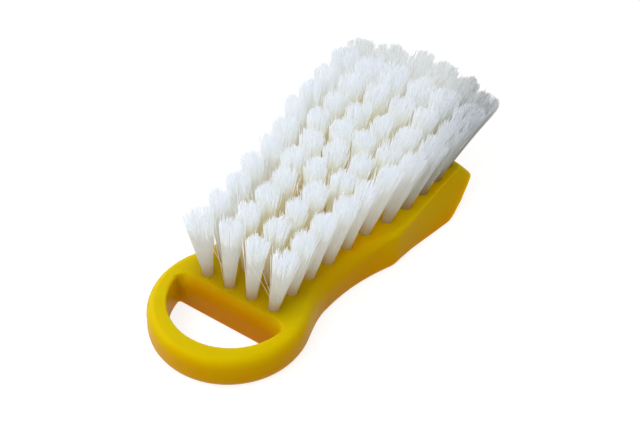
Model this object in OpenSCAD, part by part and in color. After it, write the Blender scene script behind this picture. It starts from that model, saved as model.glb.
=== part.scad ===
// Hand-held nail brush: a moulded block with a hanging loop, eleven rows of bristle tufts, and the flat wire
// anchors that hold each tuft in its hole. The back lies on z = 0, the bristles point up, and the loop is at -X.
// The origin is on the back, under the middle row of tufts.

/* [Block] */
// Thickness of the block, from its back to the face that the bristles stand on
block_t = 13.2; // [12.4:0.1:15]
// How far the waist's edge lies outside the third row's outer tufts, where the fingers hold it
waist_side = 7.2; // [6.2:0.1:8.6]
// Distance from the middle row back to the narrowest place of the waist
waist_back = 27; // [25:0.5:29]
// How far the shoulder's edge lies outside the outer tufts of the widest row, on the back
shoulder_side = 6.5; // [5.4:0.1:8.4]
// Distance from the middle row forward to the shoulders
shoulder_front = 6; // [4:0.5:8]
// How much further forward the shoulders lie on the face
shoulder_slant = 4; // [0:0.5:6]
// How far each shoulder's edge on the face lies inside its edge on the back
shoulder_lean = 1.1; // [0.6:0.1:2]
// How far the nose's side lies outside the widest row on the back, where it would meet the table
nose_back_side = 10.8; // [9.9:0.1:12.4]
// The same on the face
nose_face_side = 4.1; // [3.6:0.1:5.4]
// Distance from the nose's row of tufts forward to the middle of the nose, on the face
nose_gap = 2.9; // [2.7:0.1:6]
// How far the front of the nose leans out from the face down to the back
nose_lean = 8.4; // [5:0.2:10]
// How far the middle of the nose stands in front of its corners, on the face
nose_bulge = 2.3; // [1.6:0.1:2.6]
// The same where the front of the nose would meet the table
nose_back_bulge = 5; // [2:0.2:6]
// Rounding of the nose's upright corners
nose_corner_r = 2.2; // [1.6:0.1:3]
// Distance from the middle row forward to the start of the bevel under the nose
bevel_front = 31; // [29:0.5:34]
// Angle of the bevel under the nose, in degrees
bevel_angle = 24; // [20:0.5:25]

/* [Loop] */
// Outer radius of the hanging loop
loop_r = 27.2; // [26:0.1:29]
// Distance from the first row of tufts back to the loop's centre
loop_gap = 6.2; // [5.5:0.1:7.5]
// Width of the loop's bar at its sides
loop_side_w = 5.7; // [5.6:0.1:6.6]
// Width of the loop's bar at its far end
loop_end_w = 7.3; // [6.4:0.1:9]
// Distance from the first row of tufts back to the opening's straight wall, measured on the back
wall_gap = 6.3; // [6.1:0.1:7]

/* [Edges] */
// Rounding of the face's edge at the waist
waist_edge_r = 5; // [3.5:0.1:5.5]
// Rounding of the face's edge on the loop
loop_edge_r = 3; // [2.6:0.1:3.2]
// Rounding of the face's edge at the shoulders
shoulder_edge_r = 1.8; // [1.2:0.1:2.4]
// Rounding of the face's edge along the nose
nose_edge_r = 0.6; // [0.4:0.1:1]
// Rounding of the back's edge on the loop
loop_back_r = 4.6; // [3:0.1:4.8]
// Rounding of the back's edge at the waist and the shoulders
waist_back_r = 2.6; // [1.5:0.1:3.5]
// Rounding of the back's edge along the nose
nose_back_r = 1.2; // [0.6:0.1:1.4]
// Rounding of the opening's edge where the face runs down into it
wall_edge_r = 3.8; // [3:0.1:3.9]
// Rounding of the opening's edge on the loop
opening_edge_r = 0.9; // [0.6:0.1:1.5]
// Rounding of the opening's edge on the back
opening_back_r = 0.7; // [0.4:0.1:1]
// Rounding of the opening's two corners, on the back
corner_back_r = 0.9; // [0.6:0.1:1.4]
// Rounding of the opening's two corners, on the face
corner_face_r = 5.5; // [4:0.1:6.5]

/* [Tufts] */
// Distance between two rows of tufts
row_pitch = 9.3; // [9:0.1:9.6]
// Distance between the outer tufts of the widest row
field_w = 43.2; // [41:0.2:44]
// Diameter of a tuft's hole
hole_d = 4; // [3.4:0.1:4.2]
// Depth of a tuft's hole, along the hole
hole_depth = 8; // [6.5:0.1:9]
// Length of the bristles that stands over the face, measured square to it
trim_h = 24.5; // [20:0.5:28]
// Diameter of a tuft at its tip, where its filaments have spread
tip_d = 9; // [8:0.1:9.6]
// How far the tips of the middle row lie in front of their roots
tip_lean = 7.7; // [4:0.1:9]
// How far the outer tufts of the nose's row lie behind its middle
row_bow = 2.8; // [1.6:0.1:3.4]
// How much further forward the tips of the nose's row lean
nose_reach = 2.2; // [0:0.1:4]
// How much lower the tips of the nose's row are trimmed
nose_drop = 3.4; // [0:0.1:5]
// How much further forward again the tips in the middle of the nose's row lean
nose_fan = 3; // [0:0.1:4]
// Play between a tuft's root and its hole, all round
root_play = 0.05; // [0.03:0.01:0.1]

/* [Anchors] */
// Thickness of the flat wire that an anchor is cut from
anchor_t = 0.5; // [0.3:0.05:0.7]
// Height of an anchor, along the hole
anchor_h = 2; // [1.4:0.1:2.6]
// Play between an anchor and what is round it
anchor_play = 0.04; // [0.02:0.01:0.08]

/* [Hidden] */

// Tufts in each row, from the loop to the nose, and each row's width as a share of the widest one
row_tufts = [4, 4, 4, 4, 5, 5, 6, 6, 6, 6, 6];
row_width_shares = [0.63, 0.65, 0.665, 0.71, 0.745, 0.8, 0.92, 0.98, 1, 1, 0.96];
// How much of the nose row's bow, of its reach and drop, and of its fan each row has
row_bow_shares = [0, 0, 0, 0, 0, 0, 0, 0, 0, 0.33, 1];
row_reach_shares = [0, 0, 0, 0, 0, 0, 0, 0, 0, 0.1, 1];
row_fan_shares = [0, 0, 0, 0, 0, 0, 0, 0, 0.3, 0.75, 1];
last_row = len(row_tufts) - 1;
middle_row = last_row / 2;
// The fan of the tufts: how far a tip moves out for each unit that its root lies from the middle
fan_x_share = 0.118;
fan_y_share = 0.24;

// Widths across the block, from its tufts out: at the waist, beside the third row, at the shoulders and the nose
waist_row = 2;
waist_w = field_w * row_width_shares[waist_row] + 2 * waist_side;
shoulder_w = field_w + 2 * shoulder_side;
nose_back_w = field_w + 2 * nose_back_side;
nose_face_w = field_w + 2 * nose_face_side;

first_row_x = -middle_row * row_pitch;
nose_row_x = first_row_x + last_row * row_pitch;
nose_front = nose_row_x + nose_gap - nose_bulge;
loop_x = first_row_x - loop_gap;
face_z = block_t;
trim_z = face_z + trim_h;
hole_r = hole_d / 2;
root_r = hole_r - root_play;
// Least thickness of plastic left under a hole
floor_t = 0.5;
// One length by which every cut runs past the surface that it opens
overrun = 1;
// How far a tuft's root stands out of its hole, and how deep the filaments are sunk into it
root_out = 0.3;
root_sink = 0.8;

// Outline of the block

// Angle at which the outline leaves the loop's circle for the waist
leave_angle = 70;
// Length of the curve's handles, as shares of the stretch that they shape
handle_share = 0.36;
nose_handle_share = 0.5;
// Points on each stretch of the half outline
loop_steps = 20;
waist_steps = 8;
shoulder_steps = 5;
nose_side_steps = 7;
corner_steps = 5;
front_steps = 5;
// How fast the outline climbs towards the shoulder, and how long the shoulder's rounding is
climb_angle = 22.5;
shoulder_run = 5.5;

function mix(a, b, share) = a + (b - a) * share;

function bezier(a, b, c, d, s) =
    a * pow(1 - s, 3) + 3 * b * s * pow(1 - s, 2) + 3 * c * s * s * (1 - s) + d * pow(s, 3);

// Half outline from the loop's end to the middle of the nose, on the +Y side. The back and the face have the same
// loop and waist, and differ at the shoulder and the nose.
function half_outline(shoulder_x, shoulder_y, nose_x, nose_y, bulge) =
    let (leave = [loop_x + loop_r * cos(leave_angle), loop_r * sin(leave_angle)],
         waist = [-waist_back, waist_w / 2],
         shoulder = [shoulder_x, shoulder_y],
         climb = shoulder - [shoulder_run, shoulder_run * sin(climb_angle) * handle_share],
         side_end = [nose_x - nose_corner_r, nose_y],
         front_start = [nose_x, nose_y - nose_corner_r],
         back_run = waist[0] - leave[0],
         front_run = climb[0] - waist[0],
         side_run = side_end[0] - shoulder[0],
         out = [sin(leave_angle), -cos(leave_angle)],
         up = [cos(climb_angle), sin(climb_angle)])
    concat(
        [for (i = [0:loop_steps - 1])
            let (a = mix(180, leave_angle, i / loop_steps))
            [loop_x + loop_r * cos(a), i == 0 ? 0 : loop_r * sin(a)]],
        [for (i = [0:waist_steps - 1])
            bezier(leave, leave + out * back_run * handle_share, waist - [back_run * handle_share, 0], waist,
                i / waist_steps)],
        [for (i = [0:waist_steps + 1])
            bezier(waist, waist + [front_run * handle_share, 0], climb - up * front_run * handle_share, climb,
                i / (waist_steps + 2))],
        [for (i = [0:shoulder_steps - 1])
            bezier(climb, climb + up * shoulder_run * handle_share, shoulder - [shoulder_run * handle_share, 0],
                shoulder, i / shoulder_steps)],
        [for (i = [0:nose_side_steps - 1])
            bezier(shoulder, shoulder + [side_run * handle_share, 0], side_end - [side_run * nose_handle_share, 0],
                side_end, i / nose_side_steps)],
        [for (i = [0:corner_steps - 1])
            let (a = mix(90, 0, i / corner_steps))
            side_end + nose_corner_r * [cos(a), sin(a) - 1]],
        [for (i = [0:front_steps])
            let (y = mix(front_start[1], 0, i / front_steps))
            [nose_x + bulge * (1 - pow(y / front_start[1], 2)), y]]);

// A value that follows the stretches of the half outline
function half_values(on_loop, on_waist, on_shoulder, on_nose) =
    concat(
        [for (i = [0:loop_steps - 1]) on_loop],
        [for (i = [0:waist_steps - 1]) mix(on_loop, on_waist, i / waist_steps)],
        [for (i = [0:waist_steps + 1]) mix(on_waist, on_shoulder, pow(i / (waist_steps + 2), 2))],
        [for (i = [0:shoulder_steps - 1]) on_shoulder],
        [for (i = [0:nose_side_steps - 1]) mix(on_shoulder, on_nose, min(1, 3 * i / nose_side_steps))],
        [for (i = [0:corner_steps + front_steps]) on_nose]);

// The whole loop of points or values from its half
function whole(half) = concat(half, [for (i = [len(half) - 2:-1:1]) half[i]]);
function whole_points(half) = concat(half, [for (i = [len(half) - 2:-1:1]) [half[i][0], -half[i][1]]]);

function unit(v) = v / norm(v);
// Direction that points out of a closed outline at one of its points, which run clockwise seen from above
function outward(points, i) =
    let (n = len(points), d = unit(points[(i + 1) % n] - points[(i + n - 1) % n])) [-d[1], d[0]];

back_outline = whole_points(half_outline(shoulder_front, shoulder_w / 2,
    nose_front + nose_lean, nose_back_w / 2, nose_back_bulge));
face_outline = whole_points(half_outline(shoulder_front + shoulder_slant, shoulder_w / 2 - shoulder_lean,
    nose_front, nose_face_w / 2, nose_bulge));
back_radii = whole(half_values(loop_back_r, waist_back_r, waist_back_r, nose_back_r));
face_radii = whole(half_values(loop_edge_r, waist_edge_r, shoulder_edge_r, nose_edge_r));
// How much deeper than wide the face's edge is rounded: on the loop, at the waist, and down the opening's wall
loop_drop_share = 1.4;
waist_drop_share = 1.2;
wall_drop_share = 1.5;
drop_shares = whole(half_values(loop_drop_share, waist_drop_share, 1, 1));
edge_steps = 5;

// One layer of the block: the outline at a height, drawn in by an inset that follows the outline
function layer(heights, insets) =
    [for (i = [0:len(back_outline) - 1])
        let (p = mix(back_outline[i], face_outline[i], heights[i] / block_t),
             q = p - outward(back_outline, i) * insets[i])
        [q[0], abs(back_outline[i][1]) > 0 ? q[1] : 0, heights[i]]];

// Caps for an outline of n points: strips that join its two mirrored halves, or a fan from its first point
function strips(n) = concat([[0, 1, n - 1], [n / 2 - 1, n / 2, n / 2 + 1]],
    [for (i = [1:n / 2 - 2]) each [[i, i + 1, n - i - 1], [i, n - i - 1, n - i]]]);
function fan(n) = [for (i = [1:n - 2]) [0, i, i + 1]];

// A closed skin over layers of equal length, which run clockwise seen from above
module skin(layers, caps) {
    n = len(layers[0]);
    top = (len(layers) - 1) * n;
    sides = [for (k = [0:len(layers) - 2], i = [0:n - 1])
        let (j = (i + 1) % n) each [
            [k * n + i, k * n + j, (k + 1) * n + j],
            [k * n + i, (k + 1) * n + j, (k + 1) * n + i]]];
    polyhedron(
        points = [for (l = layers) each l],
        faces = concat(sides, [for (c = caps) [c[2], c[1], c[0]]], [for (c = caps) [for (m = c) m + top]]),
        convexity = 8);
}

module block_body() {
    skin(concat(
        [for (k = [0:edge_steps])
            let (a = 90 * k / edge_steps)
            layer([for (r = back_radii) r * (1 - cos(a))], [for (r = back_radii) r * (1 - sin(a))])],
        [for (k = [edge_steps:-1:0])
            let (a = 90 * k / edge_steps)
            layer([for (i = [0:len(face_radii) - 1]) face_z - face_radii[i] * drop_shares[i] * (1 - cos(a))],
                [for (r = face_radii) r * (1 - sin(a))])]),
        strips(len(back_outline)));
}

// Opening of the loop

opening_r = loop_r - loop_side_w;
opening_x = loop_x - loop_r + loop_end_w + opening_r;
wall_x = first_row_x - wall_gap;
// Points on half the opening's outline: along the loop, round the corner, and along the wall
arc_steps = 14;
turn_steps = 6;
wall_steps = 3;
// How much of the wall's rounding each point has: none on the loop, all of it on the wall
wall_shares = whole(concat([for (i = [0:arc_steps - 1]) 0], [for (i = [0:turn_steps]) i / turn_steps],
    [for (i = [1:wall_steps]) 1]));

// The opening at one height, clockwise from the loop's end: an arc, a rounded corner and half the straight wall,
// then the same mirrored. Rounded edges spread it along the loop's bar and across the wall.
function opening_layer(heights, spread, wall_spread, corner) =
    let (r = opening_r + spread,
         x = wall_x + wall_spread,
         y = sqrt(pow(r - corner, 2) - pow(x - corner - opening_x, 2)),
         meet = atan2(y, x - corner - opening_x),
         outline = whole_points(concat(
            [for (i = [0:arc_steps - 1])
                let (a = mix(180, meet, i / arc_steps))
                [opening_x + r * cos(a), i == 0 ? 0 : r * sin(a)]],
            [for (i = [0:turn_steps])
                let (a = mix(meet, 0, i / turn_steps))
                [x + corner * (cos(a) - 1), y + corner * sin(a)]],
            [for (i = [1:wall_steps]) [x, mix(y, 0, i / wall_steps)]])))
    [for (i = [0:len(outline) - 1]) [outline[i][0], outline[i][1], heights[i]]];
function level(z) = [for (w = wall_shares) z];

module loop_opening() {
    drops = [for (w = wall_shares) mix(opening_edge_r, wall_edge_r * wall_drop_share, w)];
    skin(concat(
        [opening_layer(level(-overrun), opening_back_r, opening_back_r, corner_back_r)],
        [for (k = [0:2:edge_steps + 1])
            let (a = 90 * min(1, k / edge_steps), spread = opening_back_r * (1 - sin(a)))
            opening_layer(level(opening_back_r * (1 - cos(a))), spread, spread, corner_back_r)],
        [for (k = [edge_steps:-1:0])
            let (a = 90 * k / edge_steps)
            opening_layer([for (d = drops) face_z - d * (1 - cos(a))], opening_edge_r * (1 - sin(a)),
                wall_edge_r * (1 - sin(a)), mix(corner_face_r, corner_back_r, sin(a)))],
        [opening_layer(level(face_z + overrun), opening_edge_r, wall_edge_r, corner_face_r)]),
        fan(len(wall_shares)));
}

// Bevel under the nose, which thins the block towards its front
function bevel_z(x) = max(0, (x - bevel_front) * tan(bevel_angle));

module nose_bevel() {
    reach = nose_front + nose_lean + nose_back_bulge + overrun - bevel_front;
    translate([bevel_front, nose_back_w, 0])
        rotate([90, 0, 0])
            linear_extrude(2 * nose_back_w)
                polygon([[-overrun, -overrun], [-overrun, 0], [0, 0], [reach, reach * tan(bevel_angle)],
                    [reach, -overrun]]);
}

// Places and directions of the tufts

function row_x(k) = first_row_x + k * row_pitch;
function tuft_y(k, j) = field_w / 2 * row_width_shares[k] * (2 * j / (row_tufts[k] - 1) - 1);
function tuft_root(k, j) =
    [row_x(k) - row_bow * row_bow_shares[k] * pow(tuft_y(k, j) / (field_w / 2), 2), tuft_y(k, j), face_z];
function tuft_tip(k, j) =
    let (root = tuft_root(k, j), fan = nose_fan * row_fan_shares[k] * (1 - pow(root[1] / (field_w / 2), 2)))
    [root[0] + tip_lean + fan_x_share * row_x(k) + nose_reach * row_reach_shares[k] + fan,
        root[1] * (1 + fan_y_share), trim_z - nose_drop * row_reach_shares[k]];
function tuft_tilt(k, j) =
    let (d = unit(tuft_tip(k, j) - tuft_root(k, j))) [0, acos(d[2]), atan2(d[1], d[0])];
// Depth of a hole along itself: it stops above the bevel
function tuft_depth(k, j) =
    let (root = tuft_root(k, j), tilt = tuft_tilt(k, j)[1])
    min(hole_depth, (face_z - bevel_z(root[0]) - hole_r * sin(tilt) - floor_t) / cos(tilt));

// Stands its children at a tuft's root, with +Z along the tuft
module at_tuft(k, j) {
    translate(tuft_root(k, j)) rotate([0, 0, tuft_tilt(k, j)[2]]) rotate([0, tuft_tilt(k, j)[1], 0]) children();
}

module tuft_hole(k, j) {
    at_tuft(k, j) translate([0, 0, -tuft_depth(k, j)])
        cylinder(h = tuft_depth(k, j) + 2 * overrun, r = hole_r, $fn = 24);
}

module block() {
    color("gold") difference() {
        block_body();
        loop_opening();
        nose_bevel();
        for (k = [0:last_row], j = [0:row_tufts[k] - 1]) tuft_hole(k, j);
    }
}

// Filaments: each strand stands for a few filaments, with one strand in the middle and the rest round it
strands_round = 7;
strand_sides = 3;
strand_root_share = 0.265;
strand_tip_share = 0.3;
strand_root_r = strand_root_share * root_r;
strand_tip_r = strand_tip_share * tip_d / 2;
root_ring_r = root_r - strand_root_r - root_play;
tip_ring_r = tip_d / 2 - strand_tip_r;
// How unevenly the filaments are cut
tip_uneven = 0.6;

// One strand between two flat ends, three-sided, turned by an angle
module strand(low, low_r, high, high_r, turn) {
    n = strand_sides;
    polyhedron(
        points = [for (e = [[low, low_r], [high, high_r]], i = [0:n - 1])
            e[0] + e[1] * [cos(turn - 360 * i / n), sin(turn - 360 * i / n), 0]],
        faces = concat(
            [[for (i = [0:n - 1]) n - 1 - i], [for (i = [0:n - 1]) n + i]],
            [for (i = [0:n - 1]) let (j = (i + 1) % n) each [[i, j, n + j], [i, n + j, n + i]]]));
}

module tuft(k, j) {
    root = tuft_root(k, j);
    tip = tuft_tip(k, j);
    sunk = root - (tip - root) * root_sink / (tip[2] - root[2]);
    seed = 31 * k + j;
    spin = rands(0, 360 / strands_round, 1, seed)[0];
    cuts = rands(-tip_uneven, tip_uneven, strands_round + 1, seed + 1);
    union() {
        difference() {
            at_tuft(k, j) translate([0, 0, root_play - tuft_depth(k, j)])
                cylinder(h = tuft_depth(k, j) - root_play + root_out, r = root_r, $fn = 24);
            anchor_slot(k, j);
        }
        strand(sunk, strand_root_r, tip + [0, 0, cuts[0]], strand_tip_r, spin);
        for (i = [1:strands_round])
            let (a = spin + 360 * i / strands_round, way = [cos(a), sin(a), 0])
            strand(sunk + way * root_ring_r, strand_root_r,
                tip + way * tip_ring_r + [0, 0, cuts[i]], strand_tip_r, a);
    }
}

module tuft_row(k) {
    color("white") for (j = [0:row_tufts[k] - 1]) tuft(k, j);
}

// Anchors: a short piece of flat wire across the bottom of each hole, which the filaments are folded over

module anchor_slot(k, j) {
    at_tuft(k, j) translate([0, 0, anchor_h / 2 + anchor_play - tuft_depth(k, j)])
        cube([2 * hole_r + overrun, anchor_t + 2 * anchor_play, anchor_h + 4 * anchor_play], center = true);
}

module anchor(k, j) {
    width = 2 * sqrt(pow(hole_r - anchor_play, 2) - pow(anchor_t / 2, 2));
    at_tuft(k, j) translate([0, 0, anchor_h / 2 + anchor_play - tuft_depth(k, j)])
        cube([width, anchor_t, anchor_h], center = true);
}

module anchor_row(k) {
    color("silver") for (j = [0:row_tufts[k] - 1]) anchor(k, j);
}

block();
tuft_row(0);  // tuft_row_01
tuft_row(1);  // tuft_row_02
tuft_row(2);  // tuft_row_03
tuft_row(3);  // tuft_row_04
tuft_row(4);  // tuft_row_05
tuft_row(5);  // tuft_row_06
tuft_row(6);  // tuft_row_07
tuft_row(7);  // tuft_row_08
tuft_row(8);  // tuft_row_09
tuft_row(9);  // tuft_row_10
tuft_row(10);  // tuft_row_11
anchor_row(0);  // anchor_row_01
anchor_row(1);  // anchor_row_02
anchor_row(2);  // anchor_row_03
anchor_row(3);  // anchor_row_04
anchor_row(4);  // anchor_row_05
anchor_row(5);  // anchor_row_06
anchor_row(6);  // anchor_row_07
anchor_row(7);  // anchor_row_08
anchor_row(8);  // anchor_row_09
anchor_row(9);  // anchor_row_10
anchor_row(10);  // anchor_row_11
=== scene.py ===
import math
import random

import bmesh
import bpy
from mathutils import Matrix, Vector


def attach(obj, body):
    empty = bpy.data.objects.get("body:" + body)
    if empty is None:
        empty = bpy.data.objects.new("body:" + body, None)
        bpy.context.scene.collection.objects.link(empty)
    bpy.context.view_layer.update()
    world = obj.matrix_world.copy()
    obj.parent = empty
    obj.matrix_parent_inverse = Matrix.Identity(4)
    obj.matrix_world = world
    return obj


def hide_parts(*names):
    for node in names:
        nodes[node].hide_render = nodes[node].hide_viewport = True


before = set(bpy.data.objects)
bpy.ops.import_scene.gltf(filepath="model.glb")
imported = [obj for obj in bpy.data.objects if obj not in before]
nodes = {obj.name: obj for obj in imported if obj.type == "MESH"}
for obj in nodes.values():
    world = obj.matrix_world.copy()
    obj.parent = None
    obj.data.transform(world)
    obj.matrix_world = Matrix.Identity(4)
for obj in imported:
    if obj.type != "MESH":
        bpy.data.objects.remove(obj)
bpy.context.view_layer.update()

# The view: a long lens looks down on the bristles over the hanging loop, from the brush's near left. Its place and
# focal length come from fitting a camera to the loop, the roots and the tips. All sizes in this file are in metres.
VIEW_AZIMUTH = math.radians(-54.12)
VIEW_ELEVATION = math.radians(43.77)
VIEW_DISTANCE = 0.7356
VIEW_TARGET = Vector((0.00933, 0.00831, 0))
FOCAL_PIXELS, FRAME_PIXELS, SENSOR_WIDTH = 2105.9, 640, 36

towards_camera = Vector((math.sin(VIEW_AZIMUTH) * math.cos(VIEW_ELEVATION),
                         -math.cos(VIEW_AZIMUTH) * math.cos(VIEW_ELEVATION), math.sin(VIEW_ELEVATION)))
camera_data = bpy.data.cameras.new("studio_camera")
camera_data.sensor_width = SENSOR_WIDTH
camera_data.lens = FOCAL_PIXELS * SENSOR_WIDTH / FRAME_PIXELS
camera_data.clip_start, camera_data.clip_end = 0.01, 20
camera = bpy.data.objects.new("studio_camera", camera_data)
camera.location = VIEW_TARGET + towards_camera * VIEW_DISTANCE
camera.rotation_euler = (-towards_camera).to_track_quat("-Z", "Y").to_euler()
bpy.context.scene.collection.objects.link(camera)
bpy.context.scene.camera = camera
bpy.context.scene.view_settings.view_transform = "Standard"


# The moulded block: handle, hanging loop and bevelled nose in one injection moulding of yellow polypropylene,
# with a blind hole for each tuft. Its skin is the mould's fine satin, a little wavy where the thick wall shrank.
BLOCK_THICKNESS = 0.0132
SMOOTH_ANGLE = math.radians(32)
FLAT_ANGLE = math.radians(0.2)
MERGE_DISTANCE = 1e-6
FIRST_ROW_X = -0.0465
MASK_REACH = 0.06
MASK_OFF, MASK_ON = (0, 0, 0, 1), (1, 1, 1, 1)


def linear_colour(hex_colour):
    """An sRGB colour such as "#E8BE08" as the linear values that a shader takes."""
    shares = [int(hex_colour[i:i + 2], 16) / 255 for i in (1, 3, 5)]
    return tuple(s / 12.92 if s <= 0.04045 else ((s + 0.055) / 1.055) ** 2.4 for s in shares) + (1,)


def add_node(owner, kind, links=(), **settings):
    """One shader node with its settings, each link given as (own input, other node, other node's output). A setting
    that starts with in_ is an input's value, by name or number, and stops are a colour ramp's (share, colour). A Mix
    node's colours go in at numbers 6 and 7 and come out at number 2."""
    node = owner.node_tree.nodes.new(kind)
    for name, value in settings.items():
        if name == "stops":
            first, last = node.color_ramp.elements
            first.position, first.color = value[0]
            last.position, last.color = value[-1]
            for share, colour in value[1:-1]:
                node.color_ramp.elements.new(share).color = colour
        elif name.startswith("in_"):
            key = name[3:]
            node.inputs[int(key) if key.isdigit() else key.replace("_", " ")].default_value = value
        else:
            setattr(node, name, value)
    for own, other, output in links:
        owner.node_tree.links.new(other.outputs[output], node.inputs[own])
    return node


def new_material(name):
    """An empty node material."""
    material = bpy.data.materials.new(name)
    material.use_nodes = True
    material.node_tree.nodes.clear()
    return material


def tuft_field(material, point, widens_to, half_widths, fade, rise, fall):
    """A mask that is 1 where the tufts stand close. Its half width changes from the first row to widens_to, and its
    sides fade over the distances in fade. It rises and falls at shares of the middle 120 mm of the brush."""
    half_width = add_node(material, "ShaderNodeMapRange", [("Value", point, "X")],
                          in_From_Min=FIRST_ROW_X, in_From_Max=widens_to,
                          in_To_Min=half_widths[0], in_To_Max=half_widths[1])
    sideways = add_node(material, "ShaderNodeMath", [(0, point, "Y")], operation="ABSOLUTE")
    inwards = add_node(material, "ShaderNodeMath", [(0, half_width, "Result"), (1, sideways, "Value")],
                       operation="SUBTRACT")
    inwards = add_node(material, "ShaderNodeMapRange", [("Value", inwards, "Value")],
                       in_From_Min=fade[0], in_From_Max=fade[1], interpolation_type="SMOOTHSTEP")
    lengthways = add_node(material, "ShaderNodeMapRange", [("Value", point, "X")],
                          in_From_Min=-MASK_REACH, in_From_Max=MASK_REACH)
    between_ends = add_node(material, "ShaderNodeValToRGB", [("Fac", lengthways, "Result")],
                            stops=((rise[0], MASK_OFF), (rise[1], MASK_ON), (fall[0], MASK_ON), (fall[1], MASK_OFF)))
    between_ends.color_ramp.interpolation = "EASE"
    return add_node(material, "ShaderNodeMath", [(0, inwards, "Result"), (1, between_ends, "Color")],
                    operation="MULTIPLY")


def new_piece(name, bm, material, node):
    """Makes the bmesh an object at the origin that rides on the brush and stands for the CAD node."""
    mesh = bpy.data.meshes.new(name)
    bm.to_mesh(mesh)
    bm.free()
    piece = bpy.data.objects.new(name, mesh)
    bpy.context.scene.collection.objects.link(piece)
    mesh.materials.append(material)
    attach(piece, "root")
    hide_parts(node)
    return piece


# Injection-moulded polypropylene, pigmented lemon yellow, into which light sinks a few millimetres. Painted light
# and shade: the lit top is painted lemon and the shaded walls golden. The satin skin gives broad, soft shine.
moulded_yellow = new_material("polypropylene_moulded_yellow")
place = add_node(moulded_yellow, "ShaderNodeTexCoord")
point = add_node(moulded_yellow, "ShaderNodeSeparateXYZ", [("Vector", place, "Object")])
surface = add_node(moulded_yellow, "ShaderNodeNewGeometry")
facing = add_node(moulded_yellow, "ShaderNodeSeparateXYZ", [("Vector", surface, "Normal")])

# Painted light and shade: lemon where the skin faces up and lies high, golden where it faces sideways and lies low.
# Clouds of pigment, 17 mm across (60 to the metre), shift the tone a little.
clouds = add_node(moulded_yellow, "ShaderNodeTexNoise", [("Vector", place, "Object")],
                  in_Scale=60.0, in_Detail=3.0)
lit_share = add_node(moulded_yellow, "ShaderNodeMapRange", [("Value", facing, "Z")],
                     in_From_Min=0.0, in_From_Max=1.0, in_To_Min=0.0, in_To_Max=0.5)
height_share = add_node(moulded_yellow, "ShaderNodeMapRange", [("Value", point, "Z")],
                        in_From_Min=0.0, in_From_Max=BLOCK_THICKNESS, in_To_Min=0.0, in_To_Max=0.4)
cloud_share = add_node(moulded_yellow, "ShaderNodeMapRange", [("Value", clouds, "Fac")],
                       in_From_Min=0.3, in_From_Max=0.7, in_To_Min=0.0, in_To_Max=0.1)
painted_light_and_cloud_share = add_node(moulded_yellow, "ShaderNodeMath", [(0, lit_share, "Result"), (1, height_share, "Result")])
painted_light_and_cloud_share = add_node(moulded_yellow, "ShaderNodeMath", [(0, painted_light_and_cloud_share, "Value"), (1, cloud_share, "Result")])
painted_light_outer_tone = add_node(moulded_yellow, "ShaderNodeValToRGB", [("Fac", painted_light_and_cloud_share, "Value")],
                      stops=((0.12, linear_colour("#D09300")), (0.82, linear_colour("#CCB700"))))

# Painted shade: round the tufts the face is painted golden, as it stands in their shade, and more orange where it
# faces sideways. That painted shade gets lighter over the 36 mm before the middle, to make up for the deeper shade of
# the tufts that lean out over the nose.
noseward = add_node(moulded_yellow, "ShaderNodeMapRange", [("Value", point, "X")],
                    in_From_Min=-0.036, in_From_Max=0.0)
painted_tuft_shade_face = add_node(moulded_yellow, "ShaderNodeValToRGB", [("Fac", noseward, "Result")],
                       stops=((0, linear_colour("#B09200")), (1, linear_colour("#E0AA00"))))
painted_tuft_shade_tone = add_node(moulded_yellow, "ShaderNodeMix", [(0, facing, "Z"), (7, painted_tuft_shade_face, "Color")],
                       data_type="RGBA", in_6=linear_colour("#C48000"))
painted_tuft_shade_share = tuft_field(moulded_yellow, point, widens_to=0.035, half_widths=(0.0185, 0.0245),
                          fade=(-0.006, 0.005), rise=(0.017, 0.062), fall=(0.8, 0.9))
tone = add_node(moulded_yellow, "ShaderNodeMix",
                [(0, painted_tuft_shade_share, "Value"), (6, painted_light_outer_tone, "Color"), (7, painted_tuft_shade_tone, 2)], data_type="RGBA")

# The mould's satin is finer than 0.1 mm. It is drawn 0.6 mm coarse (1600 to the metre), so that it shows, and the
# shallow waves of the shrunk wall are 11 mm long (90 to the metre).
satin = add_node(moulded_yellow, "ShaderNodeTexNoise", [("Vector", place, "Object")], in_Scale=1600.0, in_Detail=2.0)
waves = add_node(moulded_yellow, "ShaderNodeTexNoise", [("Vector", place, "Object")], in_Scale=90.0, in_Detail=1.0)
relief = add_node(moulded_yellow, "ShaderNodeBump", [("Height", satin, "Fac")],
                  in_Strength=0.12, in_Distance=0.0001)
relief = add_node(moulded_yellow, "ShaderNodeBump", [("Height", waves, "Fac"), ("Normal", relief, "Normal")],
                  in_Strength=0.25, in_Distance=0.0004)
gloss = add_node(moulded_yellow, "ShaderNodeMapRange", [("Value", clouds, "Fac")],
                 in_To_Min=0.36, in_To_Max=0.46)
plastic = add_node(moulded_yellow, "ShaderNodeBsdfPrincipled",
                   [("Base Color", tone, 2), ("Roughness", gloss, "Result"), ("Normal", relief, "Normal")],
                   in_IOR=1.49, in_Specular_IOR_Level=0.14, in_Specular_Tint=linear_colour("#FFEC30"),
                   in_Subsurface_Weight=1.0, in_Subsurface_Scale=0.006, in_Subsurface_Radius=(1.0, 0.42, 0.05))
add_node(moulded_yellow, "ShaderNodeOutputMaterial", [("Surface", plastic, "BSDF")])

block = bmesh.new()
block.from_mesh(nodes["block"].data)
bmesh.ops.remove_doubles(block, verts=block.verts, dist=MERGE_DISTANCE)
bmesh.ops.dissolve_limit(block, angle_limit=FLAT_ANGLE, verts=block.verts, edges=block.edges)
for face in block.faces:
    face.smooth = True
for edge in block.edges:
    edge.smooth = len(edge.link_faces) == 2 and edge.calc_face_angle() < SMOOTH_ANGLE
block_piece = new_piece("moulded_block", block, moulded_yellow, "block")
soften = block_piece.modifiers.new("soft_edges", "WEIGHTED_NORMAL")
soften.keep_sharp = True


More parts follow.
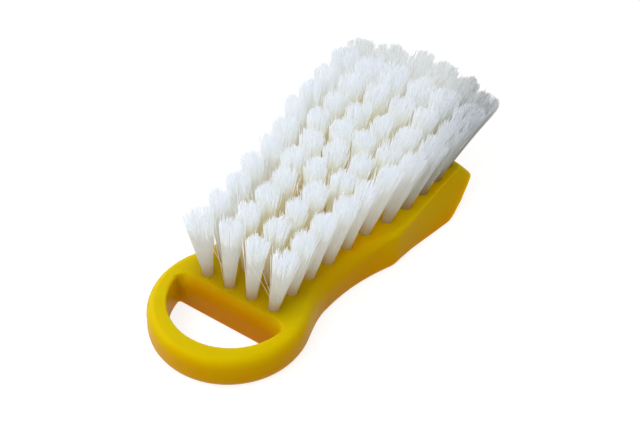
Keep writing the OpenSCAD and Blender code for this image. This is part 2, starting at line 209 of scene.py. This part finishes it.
# The tufts: bundles of straight white nylon filament, folded over an anchor and driven into the block's holes,
# eleven rows of four to six. They spread towards the tips, which were trimmed level after the tufts were set.
# Rows count from 0 at the loop, and tufts from 0 on the near side.
TRIM_HEIGHT = 0.0245
ROW_PITCH = 0.0093
FIRST_ROW = -5
HALF_FIELD = 0.0216
ROW_TUFTS = (4, 4, 4, 4, 5, 5, 6, 6, 6, 6, 6)
ROW_WIDTH_SHARES = (0.63, 0.65, 0.665, 0.71, 0.745, 0.8, 0.92, 0.98, 1, 1, 0.96)
# The last rows are bowed, their middle tufts fan out, and the very last row reaches further out and lower
ROW_BOW, ROW_BOW_SHARES = 0.0028, (0,) * 9 + (0.33, 1)
ROW_FAN, ROW_FAN_SHARES = 0.003, (0,) * 8 + (0.3, 0.75, 1)
NOSE_REACH, NOSE_DROP, NOSE_SHARES = 0.0022, 0.0034, (0,) * 9 + (0.1, 1)
TIP_LEAN, LENGTHWAYS_SPREAD, SIDEWAYS_SPREAD = 0.0077, 0.118, 0.24
TIP_WANDER = 0.0003

# A real tuft shows some 140 ends of round filament, 0.2 mm thick. The drawn filaments are as wide but have three
# sides, and so less than half the section, and 340 of them fill the hole alike.
FILAMENT_COUNT = 340
FILAMENT_RADIUS = 0.0001
FILAMENT_SIDES = 3
FILAMENT_RINGS = 5
FILAMENT_SUNK = 0.0056
ROOT_RADIUS = 0.00178
TIP_RADIUS = 0.0044
FLARE = 1.15
GOLDEN_TURN = math.radians(137.508)

# How full each bundle is at its tips. The last rows close up into a wall, and the last two, which have twice the
# filaments, are also more even. The near tufts there are fuller, and so is the first row's far tuft, whose tips stand
# a little further towards the loop.
FULLNESS = (0.94, 1.08)
NOSE_FULLNESS = {8: 1.1, 9: 1.24, 10: 1.38}
NOSE_ROUGHNESS = {9: 0.6, 10: 0.45}
NEAR_FULL_ROWS, NEAR_FULLNESS = range(6, 10), 1.12
FAR_FIRST_TUFT = (0, ROW_TUFTS[0] - 1)
FAR_FIRST_SHIFT, FAR_FIRST_FULLNESS = Vector((-0.0014, 0, 0)), 1.3

# How the tips differ within a bundle, as shares of its height: a domed top, clumps that pull together, a scatter
# in length with a few long filaments, and a splay sideways in metres with some loose filaments
DOME = 0.055
CLUMPS, CLUMP_PULL = 11, 0.3
LENGTH_SCATTER, LONGEST_SCATTER = 0.018, 0.028
LONG_SHARE, LONG_EXTRA = 0.07, (0.01, 0.075)
SPLAY, EVEN_SPLAY, ROUGH_SPLAY = 0.0005, 0.4, 0.6
LOOSE_SHARE, LOOSE_SPLAY = 0.09, 2.8
# Filaments that have sprung out of their tuft: row and tuft, then how far the tip lies from the root
STRAYS = {(0, 0): ((-0.0035, 0.0072, 0.020), (-0.0017, 0.0055, 0.022)), (0, 2): ((-0.0028, 0.0070, 0.021),)}
DRAW_SEED = 27


def tuft_places(row):
    """The root on the block's face and the middle of the tips, for each tuft of a row."""
    row_x = ROW_PITCH * (row + FIRST_ROW)
    places = []
    for tuft in range(ROW_TUFTS[row]):
        across = ROW_WIDTH_SHARES[row] * (2 * tuft / (ROW_TUFTS[row] - 1) - 1)
        root = Vector((row_x - ROW_BOW * ROW_BOW_SHARES[row] * across ** 2, HALF_FIELD * across, BLOCK_THICKNESS))
        fan = ROW_FAN * ROW_FAN_SHARES[row] * (1 - across ** 2)
        tip = Vector((root.x + TIP_LEAN + LENGTHWAYS_SPREAD * row_x + NOSE_REACH * NOSE_SHARES[row] + fan,
                      root.y * (1 + SIDEWAYS_SPREAD),
                      BLOCK_THICKNESS + TRIM_HEIGHT - NOSE_DROP * NOSE_SHARES[row]))
        places.append((root, tip))
    return places


def straight_bundle():
    """A mesh of upright filaments at the origin, from height 0 to 1, in rings of equal number, and how many corners
    each filament has."""
    filament = bmesh.new()
    bmesh.ops.create_circle(filament, cap_ends=True, segments=FILAMENT_SIDES, radius=FILAMENT_RADIUS)
    for _ in range(FILAMENT_RINGS - 1):
        top = max(filament.faces, key=lambda f: f.calc_center_median().z)
        grown = bmesh.ops.extrude_face_region(filament, geom=[top])
        moved = [v for v in grown["geom"] if isinstance(v, bmesh.types.BMVert)]
        bmesh.ops.translate(filament, verts=moved, vec=(0, 0, 1 / (FILAMENT_RINGS - 1)))
    bmesh.ops.recalc_face_normals(filament, faces=filament.faces)
    one = bpy.data.meshes.new("filament")
    filament.to_mesh(one)
    filament.free()
    bundle = bmesh.new()
    for _ in range(FILAMENT_COUNT):
        bundle.from_mesh(one)
    many = bpy.data.meshes.new("filaments")
    bundle.to_mesh(many)
    bundle.free()
    return many, len(one.vertices)


def spread_tuft(bm, first, corners, count, root, tip, fullness, rough, strays, draw):
    """Moves the upright filaments from vertex number first on into one tuft from root to tip."""
    height = tip.z - root.z
    lean = (tip - root) / height
    turn = draw.uniform(0, math.tau)
    radius = TIP_RADIUS * fullness
    clumps = []
    for _ in range(CLUMPS):
        angle, out = draw.uniform(0, math.tau), math.sqrt(draw.random())
        middle = Vector((math.cos(angle), math.sin(angle), 0)) * out * radius
        clumps.append((middle, draw.gauss(0, LENGTH_SCATTER) * rough))
    for number in range(count):
        out = math.sqrt((number + 0.5) / count)
        angle = turn + number * GOLDEN_TURN
        away = Vector((math.cos(angle), math.sin(angle), 0))
        stray = LOOSE_SPLAY * rough if draw.random() < LOOSE_SHARE else EVEN_SPLAY + ROUGH_SPLAY * rough
        splay = Vector((draw.gauss(0, SPLAY), draw.gauss(0, SPLAY), 0)) * stray
        tip_away = away * (out * radius)
        clump, longer = min(clumps, key=lambda c: (c[0] - tip_away).length_squared)
        tip_away = tip_away.lerp(clump, CLUMP_PULL) + splay
        reach = 1 - DOME * rough * out ** 2 + min(longer + draw.gauss(0, LENGTH_SCATTER) * rough, LONGEST_SCATTER)
        if draw.random() < LONG_SHARE * rough:
            reach += draw.uniform(*LONG_EXTRA)
        if number < len(strays):
            x, y, z = strays[number]
            reach = z / height
            tip_away = (Vector((x, y, 0)) - Vector((lean.x, lean.y, 0)) * z) / reach ** FLARE
        for vertex in bm.verts[first + number * corners:first + (number + 1) * corners]:
            z = (height * reach + FILAMENT_SUNK) * vertex.co.z - FILAMENT_SUNK
            share = max(z / height, 0)
            middle = (away * (out * ROOT_RADIUS)).lerp(tip_away, share ** FLARE)
            vertex.co = Vector((vertex.co.x, vertex.co.y, 0)) + root + lean * z + middle


# Extruded nylon filament, white and slightly cloudy, with fine streaks from one filament to the next. Painted light:
# the tips are painted bluish white where the light falls, and the stems grey-white, painted warmer towards the yellow
# face.
white_nylon = new_material("nylon_filament_white")
place = add_node(white_nylon, "ShaderNodeTexCoord")
point = add_node(white_nylon, "ShaderNodeSeparateXYZ", [("Vector", place, "Object")])
climb = add_node(white_nylon, "ShaderNodeMapRange", [("Value", point, "Z")],
                 in_From_Min=BLOCK_THICKNESS, in_From_Max=BLOCK_THICKNESS + TRIM_HEIGHT)
# Painted light and shade: warm and darker at the roots, lighter and bluish towards the lit tips
painted_light_stem_tones = ((0, "#E2D2AC"), (0.2, "#EAE8E0"), (0.5, "#F0F1F0"), (0.9, "#F5F8FA"), (1, "#F8FBFF"))
painted_light_stem_tone = add_node(white_nylon, "ShaderNodeValToRGB", [("Fac", climb, "Result")],
                     stops=[(share, linear_colour(tone)) for share, tone in painted_light_stem_tones])

# Streaks are as wide as a filament, 0.2 mm. They are drawn 0.6 mm wide (1800 to the metre), so that they show, and
# run on for 9 mm up the stems.
streak_place = add_node(white_nylon, "ShaderNodeMapping", [("Vector", place, "Object")],
                        in_Scale=(1.0, 1.0, 0.06))
streaks = add_node(white_nylon, "ShaderNodeTexNoise", [("Vector", streak_place, "Vector")],
                   in_Scale=1800.0, in_Detail=2.0)
streak_tone = add_node(white_nylon, "ShaderNodeMapRange", [("Value", streaks, "Fac")],
                       in_From_Min=0.3, in_From_Max=0.7, in_To_Min=0.97, in_To_Max=1.0)
shaded = add_node(white_nylon, "ShaderNodeVectorMath", [(0, painted_light_stem_tone, "Color"), ("Scale", streak_tone, "Result")],
                  operation="SCALE")

# A painted glow stands for light that is scattered many times in a bundle, more often than a renderer follows it. It
# is painted shade as well: it falls off on the near side of the nose, away from the light, and less so at the tips,
# which stand free.
along_share = add_node(white_nylon, "ShaderNodeMath", [(0, point, "X")], operation="MULTIPLY", in_1=0.5)
across_share = add_node(white_nylon, "ShaderNodeMath", [(0, point, "Y")], operation="MULTIPLY", in_1=1.6)
tip_share = add_node(white_nylon, "ShaderNodeMath", [(0, climb, "Result")], operation="MULTIPLY", in_1=0.014)
shade_side = add_node(white_nylon, "ShaderNodeMath", [(0, along_share, "Value"), (1, across_share, "Value")],
                      operation="SUBTRACT")
shade_side = add_node(white_nylon, "ShaderNodeMath", [(0, shade_side, "Value"), (1, tip_share, "Value")],
                      operation="SUBTRACT")
lit_side_share = add_node(white_nylon, "ShaderNodeMapRange", [("Value", shade_side, "Value")],
                          in_From_Min=0.03, in_From_Max=0.056, in_To_Min=1.0, in_To_Max=0.28)
glow_strengths = ((0, 0.3), (0.4, 0.4), (0.8, 0.39), (1, 0.41))
glow = add_node(white_nylon, "ShaderNodeValToRGB", [("Fac", climb, "Result")],
                stops=[(share, (strength, strength, strength, 1)) for share, strength in glow_strengths])
glow = add_node(white_nylon, "ShaderNodeMath", [(0, glow, "Color"), (1, lit_side_share, "Result")],
                operation="MULTIPLY")

# The painted glow takes up a painted yellow bounce from the face: a little low on the outer stems, and more and
# higher between the inner ones
outer_glow_tones = ((0, "#E2CA90"), (0.22, "#EFEADC"), (0.75, "#FAF6EA"), (1, "#F8FBFF"))
inner_glow_tones = ((0, "#DDB448"), (0.35, "#E8CE84"), (0.62, "#F1E4B4"), (0.8, "#F8F3DE"), (0.92, "#F8F9F6"),
                    (1, "#F8FBFF"))
outer_glow_tone = add_node(white_nylon, "ShaderNodeValToRGB", [("Fac", climb, "Result")],
                           stops=[(share, linear_colour(tone)) for share, tone in outer_glow_tones])
inner_glow_tone = add_node(white_nylon, "ShaderNodeValToRGB", [("Fac", climb, "Result")],
                           stops=[(share, linear_colour(tone)) for share, tone in inner_glow_tones])
inner_share = tuft_field(white_nylon, point, widens_to=0.02, half_widths=(0.0115, 0.0185),
                         fade=(-0.002, 0.003), rise=(0.133, 0.2), fall=(0.8, 0.92))
glow_tone = add_node(white_nylon, "ShaderNodeMix",
                     [(0, inner_share, "Value"), (6, outer_glow_tone, "Color"), (7, inner_glow_tone, "Color")],
                     data_type="RGBA")

nylon = add_node(white_nylon, "ShaderNodeBsdfPrincipled",
                 [("Base Color", shaded, "Vector"), ("Emission Color", glow_tone, 2),
                  ("Emission Strength", glow, "Value")], in_Roughness=0.42, in_IOR=1.53)
light_through = add_node(white_nylon, "ShaderNodeBsdfTranslucent", [("Color", shaded, "Vector")])
cloudy = add_node(white_nylon, "ShaderNodeMixShader", [(1, nylon, "BSDF"), (2, light_through, "BSDF")], in_0=0.65)
add_node(white_nylon, "ShaderNodeOutputMaterial", [("Surface", cloudy, "Shader")])

bundle_mesh, bundle_corners = straight_bundle()
draw = random.Random(DRAW_SEED)
for row in range(len(ROW_TUFTS)):
    tufts = bmesh.new()
    for tuft, (root, tip) in enumerate(tuft_places(row)):
        fullness = draw.uniform(*FULLNESS) * NOSE_FULLNESS.get(row, 1)
        if tuft == 0 and row in NEAR_FULL_ROWS:
            fullness *= NEAR_FULLNESS
        if (row, tuft) == FAR_FIRST_TUFT:
            tip, fullness = tip + FAR_FIRST_SHIFT, FAR_FIRST_FULLNESS
        tip = tip + Vector((draw.gauss(0, TIP_WANDER), draw.gauss(0, TIP_WANDER), 0))
        first = len(tufts.verts)
        bundles = 2 if row in NOSE_ROUGHNESS else 1
        for _ in range(bundles):
            tufts.from_mesh(bundle_mesh)
        tufts.verts.ensure_lookup_table()
        spread_tuft(tufts, first, bundle_corners, bundles * FILAMENT_COUNT, root, tip, fullness,
                    NOSE_ROUGHNESS.get(row, 1), STRAYS.get((row, tuft), ()), draw)
    for face in tufts.faces:
        face.smooth = len(face.verts) == 4
    tufts.normal_update()
    row_name = f"tuft_row_{row + 1:02d}"
    new_piece(f"{row_name}_filaments", tufts, white_nylon, row_name)


# The anchors: short lengths of flat nickel-silver wire, one across each folded tuft, driven into the hole's
# bottom. They keep their CAD shape. Drawn wire is smooth along its length, with fine lengthways lines, here 0.1 mm
# apart (9000 to the metre).
drawn_wire = new_material("nickel_silver_drawn_wire")
place = add_node(drawn_wire, "ShaderNodeTexCoord")
line_place = add_node(drawn_wire, "ShaderNodeMapping", [("Vector", place, "Object")], in_Scale=(0.1, 0.1, 1.0))
lines = add_node(drawn_wire, "ShaderNodeTexNoise", [("Vector", line_place, "Vector")], in_Scale=9000.0)
rubbed = add_node(drawn_wire, "ShaderNodeMapRange", [("Value", lines, "Fac")], in_To_Min=0.24, in_To_Max=0.42)
metal = add_node(drawn_wire, "ShaderNodeBsdfPrincipled", [("Roughness", rubbed, "Result")],
                 in_Base_Color=linear_colour("#C9C5B8"), in_Metallic=1.0)
add_node(drawn_wire, "ShaderNodeOutputMaterial", [("Surface", metal, "BSDF")])
for row in range(len(ROW_TUFTS)):
    anchor = nodes[f"anchor_row_{row + 1:02d}"]
    anchor.data.materials.clear()
    anchor.data.materials.append(drawn_wire)


# The studio: a pale floor under the brush, three soft lamps, the strongest beyond the loop, and pale walls all
# round, greyer on the near side and brightest on the far side. The floor glows, so that it stays as blank as the
# photo's ground, and is hidden from bounced light, so that this glow doesn't light the brush from below.
FLOOR_HALF_SIZE = 3
NEAR_WALLS, FAR_WALL = (0.56, 0.56, 0.56, 1), (0.93, 0.93, 0.93, 1)
SOFTBOXES = (("loop_side_softbox", 1.4, 0.4, (-0.5, -0.03, 0.5)),
             ("far_side_softbox", 0.65, 0.3, (-0.12, 0.3, 0.35)),
             ("near_side_softbox", 0.4, 0.4, (-0.08, -0.5, 0.66)))

# Matt white paint, without any shine: the ground reads as one blank white, with only the faintest shadow
pale_floor = new_material("painted_floor_white")
paint = add_node(pale_floor, "ShaderNodeBsdfPrincipled", in_Base_Color=linear_colour("#A0A0A0"), in_Roughness=0.9,
                 in_Specular_IOR_Level=0.0, in_Emission_Color=linear_colour("#FFFFFF"), in_Emission_Strength=0.78)
add_node(pale_floor, "ShaderNodeOutputMaterial", [("Surface", paint, "BSDF")])
floor_mesh = bmesh.new()
bmesh.ops.create_grid(floor_mesh, x_segments=1, y_segments=1, size=FLOOR_HALF_SIZE)
floor_data = bpy.data.meshes.new("studio_floor")
floor_mesh.to_mesh(floor_data)
floor_mesh.free()
floor = bpy.data.objects.new("studio_floor", floor_data)
floor_data.materials.append(pale_floor)
bpy.context.scene.collection.objects.link(floor)
floor.visible_diffuse = floor.visible_glossy = False

for name, power, size, spot in SOFTBOXES:
    light_data = bpy.data.lights.new(name, "AREA")
    light_data.energy, light_data.size = power, size
    light = bpy.data.objects.new(name, light_data)
    light.location = spot
    light.rotation_euler = (-Vector(spot)).to_track_quat("-Z", "Y").to_euler()
    bpy.context.scene.collection.objects.link(light)

studio_world = bpy.data.worlds.new("studio_walls")
studio_world.use_nodes = True
studio_world.node_tree.nodes.clear()
direction = add_node(studio_world, "ShaderNodeTexCoord")
farwards = add_node(studio_world, "ShaderNodeSeparateXYZ", [("Vector", direction, "Generated")])
walls = add_node(studio_world, "ShaderNodeValToRGB", [("Fac", farwards, "Y")],
                 stops=((0, NEAR_WALLS), (1, FAR_WALL)))
backdrop = add_node(studio_world, "ShaderNodeBackground", [("Color", walls, "Color")], in_Strength=1.0)
add_node(studio_world, "ShaderNodeOutputWorld", [("Surface", backdrop, "Background")])
bpy.context.scene.world = studio_world


bpy.context.view_layer.update()
